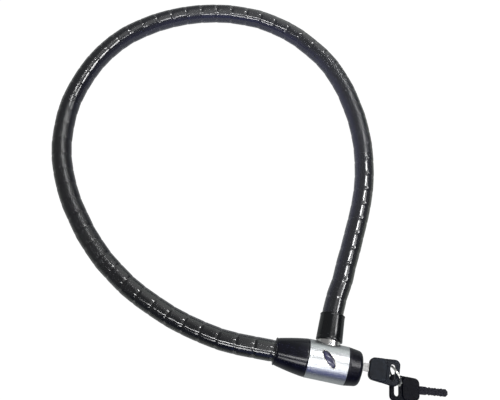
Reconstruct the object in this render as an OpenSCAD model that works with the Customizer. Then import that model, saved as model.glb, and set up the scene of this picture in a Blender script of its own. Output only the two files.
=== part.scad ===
// Armoured cable lock: a barrel lock head, a cable of steel sleeves in a clear smoky sheath that
// loops round to a plug in the side of the head, one key in the lock and a spare on a split ring.
// X runs along the lock head towards the keys, Y along the plug, Z up; the lock lies on z = 0.

/* [Lock head] */
// Outside diameter of the metal band
band_d = 36; // [35:0.5:38]
// Length of the metal band
band_length = 37.5; // [36:0.5:42]
// Wall of the metal band
band_wall = 2.4; // [2:0.1:2.6]
// Length of the lock body behind the band, inside the boot
body_rear = 8.25; // [7:0.25:9]
// Length of the lock body in front of the band, inside the cap
body_front = 7.75; // [6:0.25:8]
// Length of the rubber boot
boot_length = 30.75; // [28:0.25:34]
// Outside diameter of the boot's mouth
boot_mouth_d = 24.8; // [23:0.2:27]
// Height of the bead round the boot's mouth
boot_bead = 0.5; // [0.2:0.1:0.8]
// Length of the front cap
cap_length = 15; // [15:0.5:18]
// Corner radius of the front cap
cap_corner = 4.5; // [4:0.5:6]
// Taper of the front cap, on the radius
cap_taper = 1.4; // [0.3:0.1:1.6]
// How far the cap's face is domed
cap_dome = 1.2; // [0.6:0.1:1.6]
// Number of fine grooves round the cap
cap_grooves = 6; // [3:1:8]
// Depth of a groove round the cap
groove_depth = 0.3; // [0.2:0.05:0.5]
// Wall left between the rope terminal and the plug's socket
terminal_wall = 2.7; // [2:0.1:3.5]

/* [Badge] */
// Length of the bare oval badge
badge_length = 18.5; // [16:0.5:19]
// Width of the oval badge
badge_width = 7; // [6:0.25:8]
// Width of the bright rim round the badge
rim_width = 0.75; // [0.5:0.05:1]
// Depth that the badge is let into the band
badge_recess = 0.5; // [0.3:0.1:0.8]
// Height that the badge stands proud
badge_proud = 0.35; // [0.2:0.05:0.6]
// Slant of the badge across the band, in degrees
badge_slant = 40; // [20:1:45]
// Turn of the badge round the head from the top, in degrees
badge_turn = 0; // [0:1:12]

/* [Plug] */
// Diameter of the plug's shank
shank_d = 12; // [11:0.25:12.5]
// Diameter of the plug's neck, which the latch grips
neck_d = 7.2; // [6.4:0.2:7.4]
// How far the plug's nose reaches past the latch
nose_length = 8; // [6:0.1:9]
// Diameter of the plug's bright shoulder
shoulder_d = 22; // [20:0.5:22.5]
// Depth of the shoulder's seat below the top of the band
shoulder_seat = 4.7; // [4.5:0.1:5.5]
// How far the shoulder stands out of the band
shoulder_rise = 1.7; // [1:0.1:3]
// Diameter of the plug's tail inside the collar
tail_d = 15; // [13:0.5:16]
// Length of the plug's tail
tail_length = 8.3; // [7:0.1:9]
// Length of the black collar on the plug
collar_length = 25.8; // [24:0.2:28]
// Diameter of the collar at the head
collar_d = 25.4; // [25:0.1:26]
// Diameter of the collar at the cable
collar_top_d = 23.4; // [23.2:0.1:24.6]
// Width of the rubber seal round the plug
seal_width = 2; // [1.5:0.1:2.5]

/* [Latch and cylinder] */
// Thickness of the latch plate
latch_thick = 3; // [2.5:0.1:3]
// Wall of the latch plate round its hole
latch_wall = 2.2; // [2:0.1:2.6]
// Radius at which the cam's pin turns
cam_throw = 1.7; // [1.6:0.05:1.7]
// Diameter of the cam's pin
cam_pin_d = 2.4; // [2:0.1:2.4]
// Thickness of the cam
cam_thick = 2.5; // [2:0.1:3]
// Diameter of the cam
cam_d = 14.4; // [13:0.2:14.8]
// How far the cylinder stands off the head's axis, towards the plug
cylinder_off = 3; // [2.6:0.1:3]
// Diameter of the cylinder housing
housing_d = 16; // [15.4:0.2:16.6]
// Diameter of the cylinder core
core_d = 11; // [10.6:0.1:11.2]
// Diameter of the core's face
face_d = 13.2; // [12.6:0.1:13.4]
// Depth of the core's face flange
face_depth = 2.2; // [1.8:0.1:2.4]
// Number of wafers in the core
wafers_count = 6; // [4:1:6]
// Distance from wafer to wafer
wafer_pitch = 2.5; // [2.2:0.1:2.5]
// Thickness of a wafer
wafer_thick = 1.2; // [0.8:0.1:1.3]
// Wire diameter of the latch spring
spring_wire = 0.6; // [0.5:0.05:0.7]
// Outside diameter of the latch spring
spring_d = 4.4; // [4:0.1:5]
// Turns of the latch spring
spring_turns = 4; // [3:1:5]

/* [Keys] */
// Length of key blade that shows between the lock and the key's head
blade_stub = 7.1; // [6.7:0.1:8.5]
// Width of a key blade
blade_width = 7.6; // [7:0.1:7.8]
// Thickness of a key blade
blade_thick = 2; // [1.6:0.1:2.2]
// Length of a key blade out of its head
blade_length = 28.8; // [27.5:0.1:29]
// Depth of the cuts in a key blade
blade_cut = 0.9; // [0.6:0.05:1.1]
// Length of a key's moulded head
head_length = 29.3; // [28.6:0.1:30]
// Width of a key's head where the blade enters
head_width_near = 21; // [18:0.5:22]
// Width of a key's head at its far end
head_width_far = 25; // [23.5:0.5:26]
// Corner radius of a key's head
head_corner = 5; // [4:0.25:6]
// Thickness of the flat of a key's head
web_thick = 2.8; // [2.4:0.1:3]
// Thickness of the grip pad on a key's head
pad_thick = 5.6; // [4.5:0.1:6]
// Length of the grip pad
pad_length = 17.3; // [15:0.1:17.5]
// Width of the slot in a key's head
slot_width = 5; // [4.8:0.1:5.4]
// Length of the slot in a key's head
slot_length = 15.6; // [15.2:0.1:17]
// Width of the bar between the slot and the end of the head
slot_bar = 4.3; // [4:0.1:4.5]
// Mean radius of the split ring
ring_r = 9.8; // [9.6:0.05:10]
// Thickness of the split ring's wire
ring_wire = 1.6; // [1.2:0.1:1.7]
// How far the spare key's bar hangs below the bar of the key in the lock
spare_drop = 12.1; // [11.8:0.1:12.4]

/* [Cable] */
// Outside diameter of the clear sheath
sheath_d = 20.4; // [20.3:0.05:20.5]
// Wall of the clear sheath
sheath_wall = 0.9; // [0.7:0.05:1]
// Diameter of the steel sleeves
sleeve_d = 17.5; // [16.8:0.1:17.6]
// Diameter of the sleeves' rounded noses
ball_d = 14.4; // [14:0.1:14.5]
// Number of sleeves along the cable
sleeves_count = 62; // [60:1:63]
// Space behind a joint to the next sleeve's shoulder
sleeve_shoulder = 4.1; // [3.7:0.1:4.5]
// Reach of a sleeve's cup past the joint
cup_reach = 0.8; // [0.5:0.1:0.9]
// Diameter of the wire rope
rope_d = 7.6; // [7:0.1:7.8]
// Diameter of the bore through the sleeves
sleeve_bore = 9.6; // [9.3:0.1:9.8]

/* [Clearances] */
// Gap between pieces that are pushed together for good
fit_gap = 0.1; // [0.05:0.01:0.12]
// Gap round a piece that slides or turns in another
run_gap = 0.2; // [0.15:0.01:0.22]
// Gap round the cylinder core in its housing
core_gap = 0.08; // [0.05:0.01:0.1]
// Gap round a rubber or plastic cover's soft fit
cover_gap = 0.3; // [0.2:0.02:0.35]
// Gap between two stretches of sheath at a bending joint
bend_gap = 2.1; // [1.9:0.1:2.5]
// Gap between a sleeve's nose and the cup round it
cup_gap = 0.25; // [0.2:0.01:0.28]

/* [Hidden] */
$fn = 64;
cut = 0.01;            // overlap that makes a cut clean

// Where the head stands: the plug's axis crosses the head's axis here
head_x = 143;
head_y = -190;
band_r = band_d / 2;
body_r = band_r - band_wall - fit_gap;
band_end = band_length / 2;
body_back = -band_end - body_rear;
body_face = band_end + body_front;
boot_end = -band_end - boot_length;
cap_end = band_end + cap_length;

// Plug, measured along Y from the head's axis
shank_r = shank_d / 2;
latch_y = latch_thick / 2;
nose_y = latch_y - latch_thick / 2 - run_gap - nose_length;
seat_y = band_r - shoulder_seat;
collar_y = band_r + shoulder_rise;
tail_y = collar_y + tail_length;
seal_y = seat_y - 3.4;
rope_end = collar_y + 1.5;
plug_pin_y = rope_end - 5.2;

// Latch: its hole clears the plug while it is down, as drawn, and its edge rises into the neck by
// 1.4 times the cam's throw as the key turns a quarter
cam_pin_at = cam_throw / sqrt(2);
latch_hole_r = shank_r + run_gap + fit_gap;
latch_half = latch_hole_r + latch_wall;
latch_edge = latch_hole_r + 3.9;
notch_depth = cam_pin_d + run_gap;
notch_height = cam_pin_d + 0.3;
cam_back = latch_edge + run_gap + cover_gap;
cam_front = cam_back + cam_thick;
pocket_z = -latch_half - 5;
tail_square = 4;       // the core's driving square, in the cam

// Cylinder core and housing, along X
core_back = cam_front + fit_gap;
housing_front = cap_end - 3;
core_front = housing_front + fit_gap + face_depth;
first_wafer = core_back + 3.2;
wafer_half_z = blade_thick / 2 + 1.1;
key_tip = core_back + 1.1;

// Cross pins, and the steel terminal that holds the rope's end in the body
pin_r = 1.25;
pin_end = body_r - 1;
housing_pin_x = core_back + 4.5;
terminal_r = 6.5;
terminal_front = -shank_r - run_gap - terminal_wall;
terminal_pin_x = terminal_front - 3;
rope_start = terminal_pin_x - 4;

// Keys and ring
key_x = cap_end + blade_stub;
blade_reach = key_x - key_tip;
slot_x = head_length - slot_bar - slot_width / 2;
bar_x = key_x + head_length - slot_bar / 2;
ring_x = bar_x - 0.3;
ring_y = -1;
ring_turn = atan2(-0.8, 0.6);
// The spare key hangs on the ring with its bar below the first key's, and its tip on the table
spare_bar_x = ring_x - 0.48;
spare_y = -11.5;
spare_z = -spare_drop;
spare_turn = 6.5;
ring_z = -spare_drop / 2 + 0.15;
spare_tilt = asin((band_r - spare_drop - blade_thick / 2)
                  / (head_length - slot_bar / 2 + blade_length));

// Cable: the middle of its route, from inside the boot round to inside the collar
ROUTE = [[112, -190, 18], [88, -190, 18], [47, -190, 15.6], [10, -183, 12], [-26, -171, 10.6],
         [-61, -154, 10.3], [-94, -130, 10.21], [-123, -100, 10.21], [-148, -64, 10.21],
         [-165, -22, 10.21], [-170, 25, 10.21], [-163, 72, 10.21], [-144, 114, 10.21],
         [-112, 148, 10.21], [-73, 172, 10.21], [-29, 185, 10.21], [17, 185, 10.21], [61, 170, 10.21],
         [100, 142, 10.21], [128, 103, 10.21], [147, 58, 10.26], [156, 12, 10.5], [156, -34, 11.5],
         [151, -78, 14.4], [147, -112, 17.5], [143, -134, 18], [143, -160, 18]];
// Sleeve joints at which one stretch of cable bends on the next
BENDS = [7, 16, 26, 38, 50];
steps = 12;            // points to a span of the route
sheath_sides = 12;
rope_sides = 8;
sleeve_fn = 24;

// A smooth curve through the route, as many short steps
function bend_point(a, b, c, d, t) =
    0.5 * (2 * b + (c - a) * t + (2 * a - 5 * b + 4 * c - d) * t * t
           + (3 * b - a - 3 * c + d) * t * t * t);
last_span = len(ROUTE) - 2;
FINE = [for (i = [0:last_span], k = [0:steps - 1])
            bend_point(ROUTE[max(i - 1, 0)], ROUTE[i], ROUTE[i + 1],
                       ROUTE[min(i + 2, last_span + 1)], k / steps),
        ROUTE[last_span + 1]];
function run(points, i = 0, so_far = 0) =
    i >= len(points) - 1 ? [so_far]
    : concat([so_far], run(points, i + 1, so_far + norm(points[i + 1] - points[i])));
ALONG = run(FINE);
route_length = ALONG[len(ALONG) - 1];
function column(axis) = [for (i = [0:len(FINE) - 1]) [ALONG[i], FINE[i][axis]]];
X_AT = column(0);
Y_AT = column(1);
Z_AT = column(2);
function on_route(s) = [lookup(s, X_AT), lookup(s, Y_AT), lookup(s, Z_AT)];
// The centre of each ball joint between two sleeves
JOINTS = [for (i = [0:sleeves_count]) on_route(i * route_length / sleeves_count)];

function unit(v) = v / norm(v);
function step_at(i) = unit(JOINTS[i + 1] - JOINTS[i]);
function first_joint(k) = k == 0 ? 0 : BENDS[k - 1];
function last_joint(k) = k == len(BENDS) ? sleeves_count : BENDS[k];
// The first sleeve's nose stands in the head, and the rope's terminal starts clear of it
terminal_back = JOINTS[0][0] - head_x + ball_d / 2 + cup_gap;
// A stretch's own centreline, drawn back from the joints it bends at
function stretch(k, back) =
    let (a = first_joint(k), b = last_joint(k))
    concat([JOINTS[a] + step_at(a) * (k == 0 ? 0 : back)],
           [for (i = [a + 1:b - 1]) JOINTS[i]],
           [JOINTS[b] - step_at(b - 1) * (k == len(BENDS) ? 0 : back)]);

// Rings of points square to a path, and the tube through them
function heading(path, i) =
    unit(path[min(i + 1, len(path) - 1)] - path[max(i - 1, 0)]);
function ring_points(path, i, r, sides) =
    let (t = heading(path, i), side = unit(cross([0, 0, 1], t)), rise = cross(t, side))
    [for (k = [0:sides - 1]) let (a = 360 * k / sides) path[i] + r * (cos(a) * side + sin(a) * rise)];
function wall_faces(rings, sides, offset, out) =
    [for (i = [0:rings - 2], k = [0:sides - 1])
        let (a = offset + i * sides + k, b = offset + i * sides + (k + 1) % sides,
             c = b + sides, d = a + sides)
        each out ? [[a, b, c], [a, c, d]] : [[a, c, b], [a, d, c]]];

module solid_tube(path, r, sides) {
    rings = len(path);
    points = [for (i = [0:rings - 1]) each ring_points(path, i, r, sides)];
    last = (rings - 1) * sides;
    caps = [for (k = [1:sides - 2]) each [[0, k + 1, k], [last, last + k, last + k + 1]]];
    polyhedron(points, [for (f = concat(wall_faces(rings, sides, 0, true), caps)) [f[2], f[1], f[0]]]);
}

module hollow_tube(path, r, wall, sides) {
    rings = len(path);
    inner = rings * sides;
    last = (rings - 1) * sides;
    points = [for (i = [0:rings - 1]) each ring_points(path, i, r, sides),
              for (i = [0:rings - 1]) each ring_points(path, i, r - wall, sides)];
    ends = [for (k = [0:sides - 1])
                let (n = (k + 1) % sides)
                each [[k, inner + n, n], [k, inner + k, inner + n],
                      [last + k, last + n, inner + last + n],
                      [last + k, inner + last + n, inner + last + k]]];
    polyhedron(points, [for (f = concat(wall_faces(rings, sides, 0, true),
                                        wall_faces(rings, sides, inner, false), ends))
                            [f[2], f[1], f[0]]]);
}

module at_head() translate([head_x, head_y, band_r]) children();
module at_cylinder() translate([0, cylinder_off, 0]) at_head() children();
// Turns a shape drawn up Z so that it runs along X, Y, or from one point to the next
module along_x(x = 0) translate([x, 0, 0]) rotate([0, 90, 0]) children();
module along_y(y = 0) translate([0, y, 0]) rotate([-90, 0, 0]) children();
module from_to(a, b) {
    v = b - a;
    translate(a) rotate([0, acos(v[2] / norm(v)), atan2(v[1], v[0])]) children();
}

/* Lock head */
module oval(length, width) {
    polygon([for (i = [0:47]) [length / 2 * cos(i * 7.5), width / 2 * sin(i * 7.5)]]);
}

// A slanted oval standing through the top of the band
module badge_prism(length, width) {
    rotate([-badge_turn, 0, 0]) rotate([0, 0, 90 + badge_slant])
        linear_extrude(height = band_r + 5) oval(length, width);
}

module band_layer(low, high) {
    along_x(-band_end) difference() {
        cylinder(h = band_length, r = high);
        translate([0, 0, -1]) cylinder(h = band_length + 2, r = low);
    }
}

module band() {
    at_head() color("silver") difference() {
        along_x(-band_end) difference() {
            cylinder(h = band_length, r = band_r);
            translate([0, 0, -1]) cylinder(h = band_length + 2, r = band_r - band_wall);
        }
        along_y() cylinder(h = band_d, r = shoulder_d / 2 + run_gap);
        intersection() {
            badge_prism(badge_length + 2 * rim_width, badge_width + 2 * rim_width);
            band_layer(band_r - badge_recess, band_r + 1);
        }
    }
}

module badge() {
    at_head() color("midnightblue") intersection() {
        badge_prism(badge_length - 2 * fit_gap, badge_width - 2 * fit_gap);
        band_layer(band_r - badge_recess, band_r + badge_proud);
    }
}

module badge_rim() {
    rim_out = 2 * rim_width - 2 * fit_gap;
    at_head() color("gainsboro") intersection() {
        difference() {
            badge_prism(badge_length + rim_out, badge_width + rim_out);
            translate([0, 0, -cut]) badge_prism(badge_length, badge_width);
        }
        band_layer(band_r - badge_recess, band_r + badge_proud - fit_gap);
    }
}

module lock_body() {
    at_head() color("darkgray") difference() {
        along_x(body_back) cylinder(h = body_face - body_back, r = body_r);
        // socket for the plug, and the seat for its shoulder
        along_y(nose_y - 0.8) cylinder(h = band_d, r = shank_r + run_gap);
        along_y(seat_y) cylinder(h = band_d, r = shoulder_d / 2 + run_gap);
        // slot for the latch, open at the top under the band
        translate([-latch_half - run_gap, latch_y - latch_thick / 2 - run_gap, -latch_half - run_gap])
            cube([latch_half + latch_edge + 2 * run_gap, latch_thick + 2 * run_gap, band_d]);
        translate([0, latch_y, pocket_z]) cylinder(h = latch_half, r = spring_d / 2 + run_gap);
        // bore for the cylinder
        translate([0, cylinder_off, 0]) {
            along_x(cam_back - run_gap - cover_gap) cylinder(h = band_d, r = housing_d / 2 + fit_gap);
            translate([housing_pin_x, 0, 0]) cylinder(h = band_d, r = pin_r + fit_gap);
        }
        // bore for the rope's terminal and its pin
        along_x(body_back - 1) cylinder(h = terminal_front - body_back + 1 + fit_gap,
                                        r = terminal_r + fit_gap);
        translate([terminal_pin_x, 0, -band_r]) cylinder(h = band_d, r = pin_r + fit_gap);
    }
}
function boot_r(t) = boot_mouth_d / 2 + (band_r - boot_mouth_d / 2) * (0.6 * t + 0.4 * sin(90 * t));
module rear_boot() {
    bead = 1.6;        // length of the bead along the boot
    outline = [for (i = [0:12]) let (t = i / 12) [boot_r(t), boot_length * t]];
    at_head() color("#22242a") along_x(boot_end) difference() {
        union() {
            rotate_extrude() polygon(concat([[0, 0]], outline, [[0, boot_length]]));
            cylinder(h = bead, r = boot_mouth_d / 2 + boot_bead);
        }
        translate([0, 0, -1]) cylinder(h = boot_length, r = sheath_d / 2 + cover_gap);
        translate([0, 0, boot_length - body_rear - cover_gap])
            cylinder(h = body_rear + 1, r = body_r + fit_gap);
    }
}

module front_cap() {
    groove_width = 0.45;
    groove_pitch = 1.3;
    straight = cap_length - cap_corner - cap_dome;
    flat_r = band_r - cap_taper - cap_corner;
    corner = [for (i = [0:8]) let (a = i * 10)
                 [flat_r + cap_corner * cos(a), straight + cap_corner * sin(a)]];
    outline = concat([[0, 0], [band_r, 0]], corner, [[face_d / 2 + 2.4, cap_length], [0, cap_length]]);
    at_head() color("#1c1d2c") along_x(band_end) difference() {
        rotate_extrude() polygon(outline);
        // fine grooves round the skirt
        for (i = [0:cap_grooves - 1]) let (low = 2 + i * groove_pitch) translate([0, 0, low])
            difference() {
                cylinder(h = groove_width, r = band_r + 1);
                translate([0, 0, -1]) cylinder(h = groove_width + 2,
                                               r = band_r - cap_taper * low / straight - groove_depth);
            }
        translate([0, 0, -1]) cylinder(h = body_front + fit_gap + 1, r = body_r + fit_gap);
        translate([0, cylinder_off, -1]) {
            cylinder(h = housing_front - band_end + 1 + fit_gap, r = housing_d / 2 + fit_gap);
            cylinder(h = cap_length + 2, r = face_d / 2 + run_gap);
        }
    }
}

module cylinder_housing() {
    at_cylinder() color("goldenrod") difference() {
        along_x(core_back) cylinder(h = housing_front - core_back, r = housing_d / 2);
        along_x(core_back - 1) cylinder(h = cap_length + band_d, r = core_d / 2 + core_gap);
        translate([housing_pin_x, 0, core_d / 2 + 1.2]) cylinder(h = band_d, r = pin_r + fit_gap);
    }
}

module housing_pin() {
    low = core_d / 2 + 1.3;
    at_cylinder() color("dimgray") translate([housing_pin_x, 0, low])
        cylinder(h = pin_end - low, r = pin_r);
}

module rope_terminal() {
    at_head() color("slategray") difference() {
        along_x(terminal_back) cylinder(h = terminal_front - terminal_back, r = terminal_r);
        along_x(body_back) cylinder(h = rope_start - body_back, r = rope_d / 2 + run_gap);
        translate([terminal_pin_x, 0, -band_r]) cylinder(h = band_d, r = pin_r + fit_gap);
    }
}
module terminal_pin() {
    at_head() color("dimgray") translate([terminal_pin_x, 0, -pin_end])
        cylinder(h = 2 * pin_end, r = pin_r);
}

/* Latch, cam and cylinder core, drawn unlocked */
module latch_plate() {
    at_head() color("steelblue") difference() {
        translate([-latch_half, latch_y - latch_thick / 2, -latch_half])
            cube([latch_half + latch_edge, latch_thick, 2 * latch_half]);
        along_y(-band_r) cylinder(h = band_d, r = latch_hole_r);
        translate([latch_edge - notch_depth, -band_r, -cam_pin_at - notch_height / 2])
            cube([notch_depth + 1, band_d, notch_height]);
    }
}

module latch_spring() {
    low = pocket_z + spring_wire / 2 + fit_gap;
    high = -latch_half - spring_wire / 2 - fit_gap;
    r = (spring_d - spring_wire) / 2;
    path = [for (i = [0:spring_turns * 8]) [r * cos(i * 45), latch_y + r * sin(i * 45),
                                            low + (high - low) * i / (spring_turns * 8)]];
    at_head() color("lightgray") coil_tube(path, spring_wire / 2);
}

// A round wire that climbs as it turns, of six sides
module coil_tube(path, r) {
    sides = 6;
    rings = len(path);
    points = [for (i = [0:rings - 1])
                  let (t = heading(path, i), side = unit(cross(t, [0, 0, 1])), rise = cross(side, t))
                  for (k = [0:sides - 1]) path[i] + r * (cos(k * 60) * side + sin(k * 60) * rise)];
    last = (rings - 1) * sides;
    caps = [for (k = [1:sides - 2]) each [[0, k, k + 1], [last, last + k + 1, last + k]]];
    polyhedron(points, concat(wall_faces(rings, sides, 0, false), caps));
}

module cam() {
    at_cylinder() color("darkgoldenrod") {
        difference() {
            along_x(cam_back) cylinder(h = cam_thick, r = cam_d / 2);
            translate([cam_front - 1.3, -tail_square / 2 - fit_gap, -tail_square / 2 - fit_gap])
                cube([2, tail_square + 2 * fit_gap, tail_square + 2 * fit_gap]);
        }
        translate([latch_edge - notch_depth + run_gap, -cam_pin_at, -cam_pin_at]) rotate([0, 90, 0])
            cylinder(h = cam_back - latch_edge + notch_depth - run_gap + cut, r = cam_pin_d / 2);
    }
}

module keyway(length_from, length_to, gap) {
    translate([length_from, -blade_width / 2 - gap, -blade_thick / 2 - gap])
        cube([length_to - length_from, blade_width + 2 * gap, blade_thick + 2 * gap]);
}

module wafer_box(i, thick, half_y, half_z) {
    translate([first_wafer + i * wafer_pitch - thick / 2, -half_y, -half_z])
        cube([thick, 2 * half_y, 2 * half_z]);
}
module cylinder_core() {
    at_cylinder() color("khaki") difference() {
        union() {
            along_x(core_back) cylinder(h = core_front - core_back, r = core_d / 2);
            along_x(core_front - face_depth) cylinder(h = face_depth, r = face_d / 2);
            translate([core_back - 1, -tail_square / 2, -tail_square / 2])
                cube([1 + cut, tail_square, tail_square]);
        }
        keyway(key_tip - 0.5, cap_end, 0.15);
        for (i = [0:wafers_count - 1]) wafer_box(i, wafer_thick + 0.14, core_d, wafer_half_z + 0.07);
    }
}

module wafers() {
    half_y = core_d / 2 - 0.5;
    at_cylinder() color("peru") for (i = [0:wafers_count - 1]) difference() {
        wafer_box(i, wafer_thick, half_y, wafer_half_z);
        keyway(0, cap_end, 0.15);
    }
}

/* Keys: drawn with the blade along -X from the head's edge at x = 0 */
module blade_outline(reach) {
    half = blade_width / 2;
    cuts = [for (i = [0:5]) each [[-reach + 3.6 + i * 3, half - (i % 2 == 0 ? 0.3 : 0)],
                                  [-reach + 5 + i * 3, half - blade_cut * (0.6 + 0.4 * (i % 3) / 2)]]];
    edge = concat([[-reach, 1.4], [-reach + 2, half - 0.3]], cuts, [[-reach + 22, half], [10, half]]);
    polygon(concat(edge, [for (i = [len(edge) - 1:-1:0]) [edge[i][0], -edge[i][1]]]));
}

module blade(reach) {
    translate([0, 0, -blade_thick / 2]) difference() {
        linear_extrude(height = blade_thick) blade_outline(reach);
        for (z = [-1, blade_thick - 0.4]) translate([-reach + 4, -0.7, z]) cube([reach - 5, 1.4, 1.4]);
    }
}

module rounded_plate(length, near, far, thick, corner) {
    bevel = 0.7;
    hull() for (s = [-1, 1]) {
        translate([corner, s * (near / 2 - corner), 0]) bevel_disc(corner, thick, bevel);
        translate([length - corner, s * (far / 2 - corner), 0]) bevel_disc(corner, thick, bevel);
    }
}

module bevel_disc(r, thick, bevel) {
    translate([0, 0, -thick / 2]) {
        cylinder(h = thick, r = r - bevel, $fn = 32);
        translate([0, 0, bevel]) cylinder(h = thick - 2 * bevel, r = r, $fn = 32);
    }
}

module head_solid() {
    pad_far = head_width_near + (head_width_far - head_width_near) * pad_length / head_length;
    difference() {
        union() {
            rounded_plate(head_length, head_width_near, head_width_far, web_thick, head_corner);
            rounded_plate(pad_length, head_width_near, pad_far - 1, pad_thick, head_corner);
        }
        translate([-1, -blade_width / 2 - fit_gap / 2, -blade_thick / 2 - fit_gap / 2])
            cube([11 + fit_gap, blade_width + fit_gap, blade_thick + fit_gap]);
        translate([slot_x, 0, -pad_thick]) {
            for (s = [-1, 1]) translate([0, s * (slot_length - slot_width) / 2, 0])
                cylinder(h = 2 * pad_thick, r = slot_width / 2);
            translate([-slot_width / 2, -(slot_length - slot_width) / 2, 0])
                cube([slot_width, slot_length - slot_width, 2 * pad_thick]);
        }
    }
}

module in_lock() at_cylinder() translate([key_x, 0, 0]) children();
module as_spare() {
    at_cylinder() translate([spare_bar_x, spare_y, spare_z]) rotate([0, spare_tilt, spare_turn])
        translate([head_length - slot_bar / 2, 0, 0]) rotate([0, 0, 180]) children();
}

module key_blade() color("lightgray") in_lock() blade(blade_reach);
module key_head() color("#26262a") in_lock() head_solid();
module spare_key_blade() color("gray") as_spare() blade(blade_length);
module spare_key_head() color("#26262a") as_spare() head_solid();

module split_ring() {
    half = ring_wire / 2;
    at_cylinder() color("gainsboro") translate([ring_x, ring_y, ring_z]) rotate([90, 0, ring_turn])
        rotate_extrude() translate([ring_r, 0]) difference() {
            square([ring_wire, ring_wire], center = true);
            translate([half, 0]) circle(r = 0.15);
            translate([-half, 0]) circle(r = 0.15);
        }
}

/* Plug and collar */
module locking_plug() {
    tip = 1.5;
    neck_back = latch_y - latch_thick / 2 - run_gap;
    neck_front = latch_y + latch_thick / 2 + run_gap;
    outline = [[0, nose_y], [shank_r - tip, nose_y], [shank_r, nose_y + tip], [shank_r, neck_back],
               [neck_d / 2, neck_back], [neck_d / 2, neck_front], [shank_r, neck_front],
               [shank_r, seal_y - seal_width / 2], [shank_r - 1, seal_y - seal_width / 2],
               [shank_r - 1, seal_y + seal_width / 2], [shank_r, seal_y + seal_width / 2],
               [shank_r, seat_y + run_gap], [shoulder_d / 2, seat_y + run_gap],
               [shoulder_d / 2, collar_y - 0.4], [shoulder_d / 2 - 0.4, collar_y],
               [tail_d / 2, collar_y], [tail_d / 2, tail_y], [0, tail_y]];
    at_head() color("gainsboro") difference() {
        along_y() rotate_extrude() polygon(outline);
        along_y(rope_end) cylinder(h = tail_length + 2, r = rope_d / 2 + run_gap);
        translate([0, plug_pin_y, -band_r]) cylinder(h = band_d, r = pin_r + fit_gap);
    }
}
module plug_seal() {
    at_head() color("#303030") along_y(seal_y - seal_width / 2 + fit_gap / 2) difference() {
        cylinder(h = seal_width - fit_gap, r = shank_r + fit_gap / 2);
        translate([0, 0, -1]) cylinder(h = seal_width + 2, r = shank_r - 1 + fit_gap / 2);
    }
}

module plug_pin() {
    at_head() color("dimgray") translate([0, plug_pin_y, -shoulder_d / 2 + 0.6])
        cylinder(h = shoulder_d - 1.2, r = pin_r);
}

module plug_collar() {
    at_head() color("#1b1d20") along_y(collar_y) difference() {
        union() {
            cylinder(h = collar_length, r1 = collar_d / 2, r2 = collar_top_d / 2);
            translate([0, 0, collar_length - 1.6]) cylinder(h = 1.6, r = collar_top_d / 2 + 0.35);
        }
        translate([0, 0, -1]) cylinder(h = tail_length + 1 + cover_gap, r = tail_d / 2 + fit_gap);
        translate([0, 0, tail_length + cover_gap - cut])
            cylinder(h = collar_length, r = sheath_d / 2 + cover_gap);
    }
}

/* Cable */
// One sleeve, drawn up Z from the centre of the joint behind it to just past the joint ahead
module sleeve(pitch) {
    ball_r = ball_d / 2;
    difference() {
        union() {
            translate([0, 0, sleeve_shoulder])
                cylinder(h = pitch + cup_reach - sleeve_shoulder, r = sleeve_d / 2, $fn = sleeve_fn);
            sphere(r = ball_r, $fn = sleeve_fn);
        }
        translate([0, 0, pitch]) sphere(r = ball_r + cup_gap, $fn = sleeve_fn);
        translate([0, 0, pitch]) cylinder(h = pitch, r = ball_r + cup_gap, $fn = sleeve_fn);
        translate([0, 0, -pitch]) cylinder(h = 3 * pitch, r = sleeve_bore / 2, $fn = sleeve_fn);
    }
}

module sheath(k) {
    color([0.30, 0.32, 0.33, 0.55])
        hollow_tube(stretch(k, bend_gap / 2), sheath_d / 2, sheath_wall, sheath_sides);
}

module armour(k) {
    color("#6f7478") for (i = [first_joint(k):last_joint(k) - 1])
        from_to(JOINTS[i], JOINTS[i + 1]) sleeve(norm(JOINTS[i + 1] - JOINTS[i]));
}

module rope(k) {
    lead_in = k == 0 ? [[head_x + rope_start - fit_gap, head_y, band_r]] : [];
    lead_out = k == len(BENDS) ? [[head_x, head_y + rope_end + fit_gap, band_r]] : [];
    color("#8a8d90")
        solid_tube(concat(lead_in, stretch(k, bend_gap / 3), lead_out), rope_d / 2, rope_sides);
}

band();
lock_body();
rear_boot();
front_cap();
badge();
badge_rim();
cylinder_housing();
housing_pin();
rope_terminal();
terminal_pin();
latch_plate();
latch_spring();
cylinder_core();
wafers();
cam();
key_blade();
key_head();
split_ring();
spare_key_blade();
spare_key_head();
locking_plug();
plug_seal();
plug_pin();
plug_collar();
sheath(0);  // sheath_1
sheath(1);  // sheath_2
sheath(2);  // sheath_3
sheath(3);  // sheath_4
sheath(4);  // sheath_5
sheath(5);  // sheath_6
armour(0);  // armour_1
armour(1);  // armour_2
armour(2);  // armour_3
armour(3);  // armour_4
armour(4);  // armour_5
armour(5);  // armour_6
rope(0);  // rope_1
rope(1);  // rope_2
rope(2);  // rope_3
rope(3);  // rope_4
rope(4);  // rope_5
rope(5);  // rope_6
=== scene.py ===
"""Looks of the armoured cable lock: a barrel lock head, a cable of steel sleeves in a clear smoky
sheath, the plug at its end, a key in the lock and a spare key on a split ring."""
import math

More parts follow.
